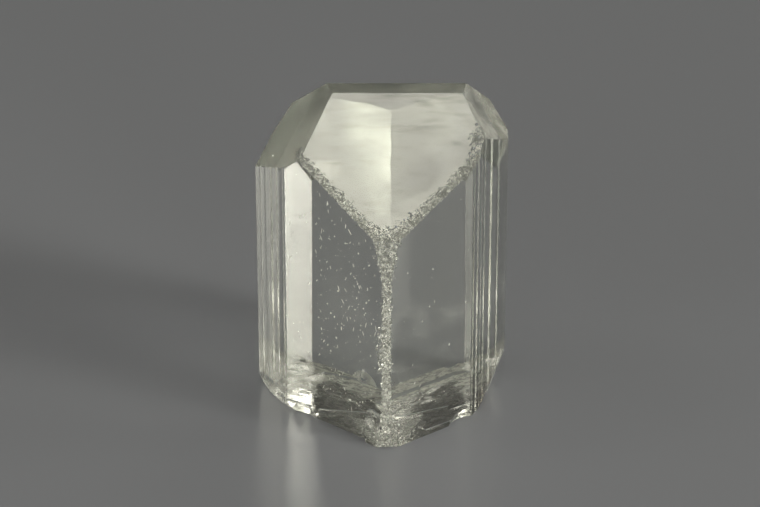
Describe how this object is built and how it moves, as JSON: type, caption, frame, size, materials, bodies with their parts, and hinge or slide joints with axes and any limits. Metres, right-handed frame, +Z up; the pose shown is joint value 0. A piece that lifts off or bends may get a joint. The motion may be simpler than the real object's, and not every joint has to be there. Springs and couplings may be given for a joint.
{
  "type": "topaz crystal",
  "caption": "Clear, stout prismatic crystal with a slanted roof face, striated sides, an etched front edge and a flat broken base.",
  "frame": {"origin": "middle of the crystal's footprint, on the plane of the flat base it stands on", "axes": "+Z up along the prism; the worn front edge looks towards -Y; +X to the right as seen from the front"},
  "size_m": [0.018, 0.0208, 0.023],
  "materials": {
    "clear_topaz": "clear colourless crystal with a faint grey-green tint, glossy flat faces, frosted etched edge"
  },
  "bodies": {
    "root": {"topaz_crystal": "clear_topaz"}
  },
  "joints": []
}
